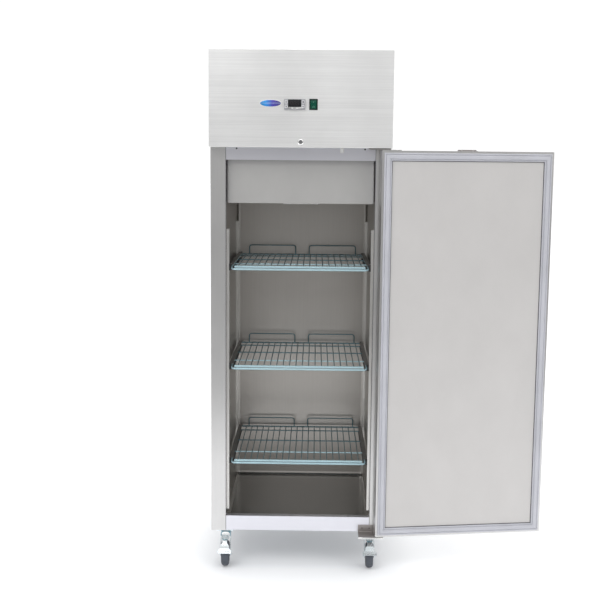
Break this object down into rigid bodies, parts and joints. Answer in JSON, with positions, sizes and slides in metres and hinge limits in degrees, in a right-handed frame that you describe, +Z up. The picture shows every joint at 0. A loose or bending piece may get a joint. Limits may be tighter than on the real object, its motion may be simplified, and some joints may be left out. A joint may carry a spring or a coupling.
{
  "type": "reach in refrigerator",
  "caption": "Upright stainless reach-in refrigerator on casters, with an insulated swing door, wire shelves on rails and a top refrigeration unit.",
  "frame": {"origin": "on the floor, under the middle of the footprint that the cabinet and its open door cover together", "axes": "+Z up, +X towards the hinge side that the door opens to, +Y towards the cabinet's back; the front faces -Y"},
  "size_m": [1.295, 0.7204, 2],
  "materials": {
    "stainless": "satin",
    "galvanised": "matte",
    "liner_steel": "satin",
    "foam": "matte",
    "frame_grey": "satin",
    "panel_grey": "satin",
    "gasket_grey": "matte",
    "zinc": "satin",
    "bracket_steel": "satin",
    "rail_dark": "satin",
    "coated_wire": "satin",
    "control_grey": "satin",
    "black_plastic": "satin",
    "green_plastic": "gloss",
    "white_plastic": "satin",
    "wheel_tread": "matte",
    "black_paint": "satin",
    "fins": "satin"
  },
  "bodies": {
    "cabinet": {"side_panel_left": "stainless", "side_panel_right": "stainless", "rear_panel": "galvanised", "base_panel": "galvanised", "roof_deck": "galvanised", "cabinet_insulation": "foam", "inner_liner": "liner_steel", "opening_frame": "frame_grey", "fascia_panel": "stainless", "controller_housing": "control_grey", "switch_bezel": "green_plastic", "compressor": "black_paint", "condenser_coil": "fins", "condenser_fan_motor": "black_paint", "evaporator_cover": "panel_grey", "evaporator_coil": "fins", "evaporator_fan_motor": "black_paint", "pilaster_front_left": "stainless", "pilaster_rear_left": "stainless", "pilaster_front_right": "stainless", "pilaster_rear_right": "stainless", "shelf_rail_bottom_left": "rail_dark", "shelf_rail_bottom_right": "rail_dark", "shelf_rail_middle_left": "rail_dark", "shelf_rail_middle_right": "rail_dark", "shelf_rail_top_left": "rail_dark", "shelf_rail_top_right": "rail_dark", "hinge_bottom_bracket": "bracket_steel", "hinge_top_bracket": "bracket_steel", "caster_plate_front_left": "zinc", "caster_plate_front_right": "zinc", "caster_bracket_rear_left": "zinc", "caster_bracket_rear_right": "zinc"},
    "door": {"door_skin": "stainless", "door_insulation": "foam", "door_inner_panel": "panel_grey", "door_gasket": "gasket_grey", "door_handle": "black_plastic", "lock_strike": "bracket_steel", "door_hinge_plate": "zinc"},
    "shelf_top": {"shelf_top": "coated_wire"},
    "shelf_middle": {"shelf_middle": "coated_wire"},
    "shelf_bottom": {"shelf_bottom": "coated_wire"},
    "key_left_lower": {"controller_key_left_lower": "control_grey"},
    "key_left_upper": {"controller_key_left_upper": "control_grey"},
    "key_right_lower": {"controller_key_right_lower": "control_grey"},
    "key_right_upper": {"controller_key_right_upper": "control_grey"},
    "switch_rocker": {"switch_rocker": "green_plastic"},
    "lock_plug": {"lock_plug": "zinc"},
    "door_switch_plunger": {"door_switch_plunger": "white_plastic"},
    "condenser_fan": {"condenser_fan_blade": "black_plastic"},
    "evaporator_fan": {"evaporator_fan_blade": "black_plastic"},
    "fork_left": {"caster_fork_front_left": "zinc"},
    "fork_right": {"caster_fork_front_right": "zinc"},
    "pedal_left": {"brake_pedal_left": "zinc"},
    "pedal_right": {"brake_pedal_right": "zinc"},
    "wheel_front_left": {"caster_wheel_front_left": "wheel_tread"},
    "wheel_front_right": {"caster_wheel_front_right": "wheel_tread"},
    "wheel_rear_left": {"caster_wheel_rear_left": "wheel_tread"},
    "wheel_rear_right": {"caster_wheel_rear_right": "wheel_tread"}
  },
  "joints": [
    {"name": "door_hinge", "type": "hinge", "parent": "cabinet", "child": "door", "pos_m": [0.00659, -0.32381, 0.16], "axis": [0, 0, 1], "range_deg": [-188, 0]},
    {"name": "shelf_top_slide", "type": "slide", "parent": "cabinet", "child": "shelf_top", "axis": [0, -1, 0], "range_m": [0, 0.4]},
    {"name": "shelf_middle_slide", "type": "slide", "parent": "cabinet", "child": "shelf_middle", "axis": [0, -1, 0], "range_m": [0, 0.4]},
    {"name": "shelf_bottom_slide", "type": "slide", "parent": "cabinet", "child": "shelf_bottom", "axis": [0, -1, 0], "range_m": [0, 0.4]},
    {"name": "key_left_lower_press", "type": "slide", "parent": "cabinet", "child": "key_left_lower", "axis": [0, 1, 0], "range_m": [0, 0.0006], "stiffness_N_per_m": 400},
    {"name": "key_left_upper_press", "type": "slide", "parent": "cabinet", "child": "key_left_upper", "axis": [0, 1, 0], "range_m": [0, 0.0006], "stiffness_N_per_m": 400},
    {"name": "key_right_lower_press", "type": "slide", "parent": "cabinet", "child": "key_right_lower", "axis": [0, 1, 0], "range_m": [0, 0.0006], "stiffness_N_per_m": 400},
    {"name": "key_right_upper_press", "type": "slide", "parent": "cabinet", "child": "key_right_upper", "axis": [0, 1, 0], "range_m": [0, 0.0006], "stiffness_N_per_m": 400},
    {"name": "switch_rock", "type": "hinge", "parent": "cabinet", "child": "switch_rocker", "pos_m": [-0.26151, -0.34961, 1.802], "axis": [1, 0, 0], "range_deg": [-16, 0]},
    {"name": "lock_turn", "type": "hinge", "parent": "cabinet", "child": "lock_plug", "pos_m": [-0.30751, -0.34961, 1.665], "axis": [0, 1, 0], "range_deg": [0, 90]},
    {"name": "door_switch_press", "type": "slide", "parent": "cabinet", "child": "door_switch_plunger", "axis": [0, 1, 0], "range_m": [0, 0.006], "stiffness_N_per_m": 150},
    {"name": "condenser_fan_spin", "type": "hinge", "parent": "cabinet", "child": "condenser_fan", "pos_m": [-0.14251, -0.13561, 1.822], "axis": [0, 1, 0], "continuous": true},
    {"name": "evaporator_fan_spin", "type": "hinge", "parent": "cabinet", "child": "evaporator_fan", "pos_m": [-0.30751, -0.13461, 1.45], "axis": [0, 0, 1], "continuous": true},
    {"name": "swivel_left", "type": "hinge", "parent": "cabinet", "child": "fork_left", "pos_m": [-0.59251, -0.23961, 0.13], "axis": [0, 0, 1], "continuous": true},
    {"name": "brake_left", "type": "hinge", "parent": "fork_left", "child": "pedal_left", "pos_m": [-0.59251, -0.25361, 0.113], "axis": [1, 0, 0], "range_deg": [0, 5.5]},
    {"name": "wheel_front_left_roll", "type": "hinge", "parent": "fork_left", "child": "wheel_front_left", "pos_m": [-0.59251, -0.26961, 0.05], "axis": [1, 0, 0], "continuous": true},
    {"name": "wheel_rear_left_roll", "type": "hinge", "parent": "cabinet", "child": "wheel_rear_left", "pos_m": [-0.59251, 0.27539, 0.05], "axis": [1, 0, 0], "continuous": true},
    {"name": "swivel_right", "type": "hinge", "parent": "cabinet", "child": "fork_right", "pos_m": [-0.02251, -0.23961, 0.13], "axis": [0, 0, 1], "continuous": true},
    {"name": "brake_right", "type": "hinge", "parent": "fork_right", "child": "pedal_right", "pos_m": [-0.02251, -0.25361, 0.113], "axis": [1, 0, 0], "range_deg": [0, 5.5]},
    {"name": "wheel_front_right_roll", "type": "hinge", "parent": "fork_right", "child": "wheel_front_right", "pos_m": [-0.02251, -0.26961, 0.05], "axis": [1, 0, 0], "continuous": true},
    {"name": "wheel_rear_right_roll", "type": "hinge", "parent": "cabinet", "child": "wheel_rear_right", "pos_m": [-0.02251, 0.27539, 0.05], "axis": [1, 0, 0], "continuous": true}
  ]
}
